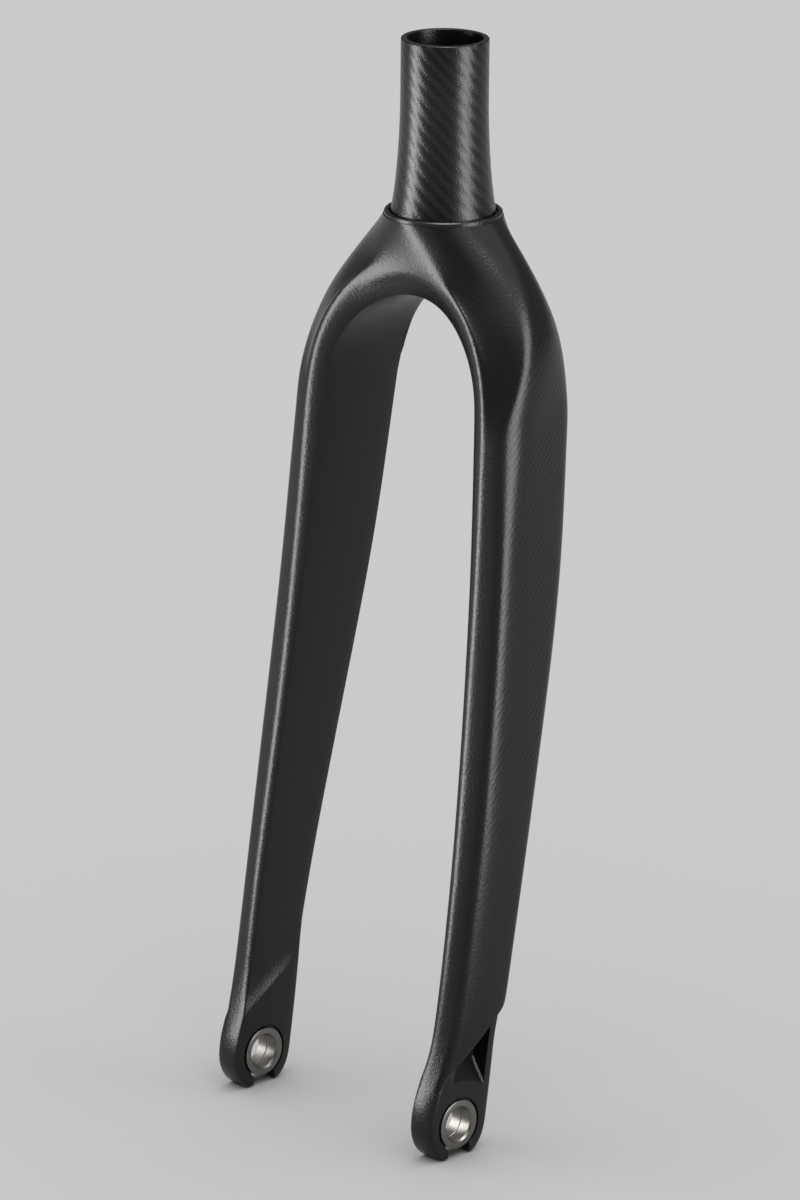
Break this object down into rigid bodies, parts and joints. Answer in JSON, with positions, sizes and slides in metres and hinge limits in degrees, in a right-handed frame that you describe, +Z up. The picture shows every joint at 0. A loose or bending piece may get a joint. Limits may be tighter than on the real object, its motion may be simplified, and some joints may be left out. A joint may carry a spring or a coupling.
{
  "type": "rigid bicycle fork",
  "caption": "Rigid carbon bicycle fork: tapered steerer tube, arched crown and two swept blades with bushed thru-axle dropouts that hold a front wheel.",
  "frame": {"origin": "centre of the crown seat, on the steerer axis", "axes": "+Z up the steerer axis, +X along the axle towards the rider's left, the bicycle's front towards -Y"},
  "size_m": [0.146, 0.0964, 0.4791],
  "materials": {
    "carbon_body": "satin black carbon laminate with a fine lengthwise grain",
    "carbon_steerer": "bare ground carbon with broad diagonal twill bands",
    "bush_steel": "turned stainless steel, satin flange and bright bore"
  },
  "bodies": {
    "root": {"fork_body": "carbon_body", "steerer_tube": "carbon_steerer", "axle_bush_left_inner": "bush_steel", "axle_bush_left_outer": "bush_steel", "axle_bush_right_inner": "bush_steel", "axle_bush_right_outer": "bush_steel"}
  },
  "joints": []
}
